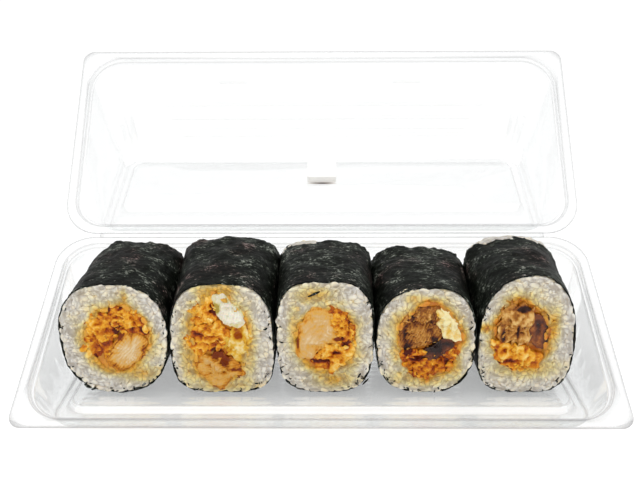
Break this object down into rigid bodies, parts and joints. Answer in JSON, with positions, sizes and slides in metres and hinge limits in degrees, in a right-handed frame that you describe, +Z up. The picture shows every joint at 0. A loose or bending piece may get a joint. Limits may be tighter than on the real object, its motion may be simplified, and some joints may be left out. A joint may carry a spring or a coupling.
{
  "type": "takeaway sushi tray",
  "caption": "Clear hinged takeaway pack, lid open, holding thick sushi rolls with nori, rice and fried fillings, cut faces to the front.",
  "frame": {"origin": "on the underside of the base, in the middle of its front foot band", "axes": "+X to the right along the row of rolls, +Y to the back where the hinge is, +Z up"},
  "size_m": [0.265, 0.1685, 0.1439],
  "materials": {
    "clear_plastic": "clear thin formed sheet",
    "white_foam": "matte white",
    "nori": "dried seaweed sheet, slightly glossy",
    "rice": "moist cooked rice",
    "batter": "sauced fried batter",
    "chicken": "pale cut meat with a fried edge",
    "cabbage": "translucent pale leaf",
    "egg": "soft yellow",
    "meat": "brown sauced meat fibres",
    "sauce": "dark glossy sauce"
  },
  "bodies": {
    "tray": {"tray_base": "clear_plastic", "nori_1": "nori", "nori_2": "nori", "nori_3": "nori", "nori_4": "nori", "nori_5": "nori", "rice_1": "rice", "rice_2": "rice", "rice_3": "rice", "rice_4": "rice", "rice_5": "rice", "batter_1a": "batter", "batter_1b": "batter", "chicken_1": "chicken", "batter_2a": "batter", "batter_2b": "batter", "cabbage_2": "cabbage", "egg_2": "egg", "chicken_2": "chicken", "chicken_3": "chicken", "batter_3a": "batter", "batter_3b": "batter", "meat_4": "meat", "egg_4": "egg", "sauce_4": "sauce", "batter_4a": "batter", "batter_4b": "batter", "meat_5": "meat", "sauce_5": "sauce", "batter_5": "batter"},
    "lid": {"tray_lid": "clear_plastic", "lid_pad": "white_foam"}
  },
  "joints": [
    {"name": "lid_hinge", "type": "hinge", "parent": "tray", "child": "lid", "pos_m": [0, 0.07876, 0.05944], "axis": [1, 0, 0], "range_deg": [-22, 157]}
  ]
}
